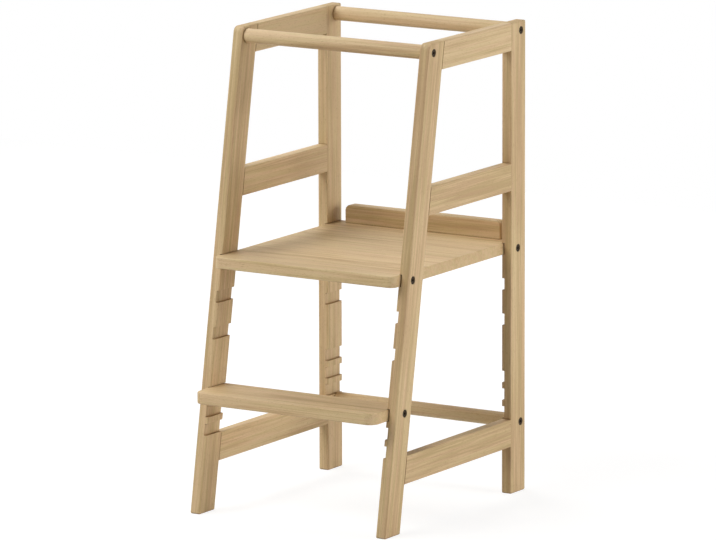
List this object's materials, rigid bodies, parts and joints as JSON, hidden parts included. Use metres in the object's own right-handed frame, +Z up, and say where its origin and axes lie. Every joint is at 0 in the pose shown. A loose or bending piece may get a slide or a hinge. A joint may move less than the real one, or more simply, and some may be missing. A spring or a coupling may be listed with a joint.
{
  "type": "toddler kitchen helper stool",
  "caption": "Wooden toddler tower: two leaning side frames joined by round bars, a platform with a toe board, a front step, and spare slots for lower heights.",
  "frame": {"origin": "on the floor, in the middle of the width and of the depth from the step's front edge to the back of the rear posts", "axes": "+Z up; the step faces -Y; +X is on the right of someone who looks at the step"},
  "size_m": [0.428, 0.518, 0.9],
  "materials": {
    "beech": "clear satin lacquer on fine straight grain",
    "dowel_beech": "raw wood, fluted dowel stock",
    "black_steel": "black oxide, satin",
    "zinc_steel": "bright zinc plate"
  },
  "bodies": {
    "root": {"left_front_post": "beech", "left_rear_post": "beech", "left_top_rail": "beech", "left_middle_rail": "beech", "left_bottom_rail": "beech", "right_front_post": "beech", "right_rear_post": "beech", "right_top_rail": "beech", "right_middle_rail": "beech", "right_bottom_rail": "beech", "front_top_bar": "beech", "rear_top_bar": "beech", "rear_lower_bar": "beech", "platform_board": "beech", "toe_board": "beech", "step_board": "beech", "left_frame_dowels": "dowel_beech", "right_frame_dowels": "dowel_beech", "top_bar_bolts": "black_steel", "lower_bar_bolts": "black_steel", "platform_bolts": "black_steel", "step_bolts": "black_steel", "top_bar_inserts": "zinc_steel", "lower_bar_inserts": "zinc_steel", "platform_barrel_nuts": "zinc_steel", "step_barrel_nuts": "zinc_steel", "toe_board_screws": "zinc_steel"}
  },
  "joints": []
}
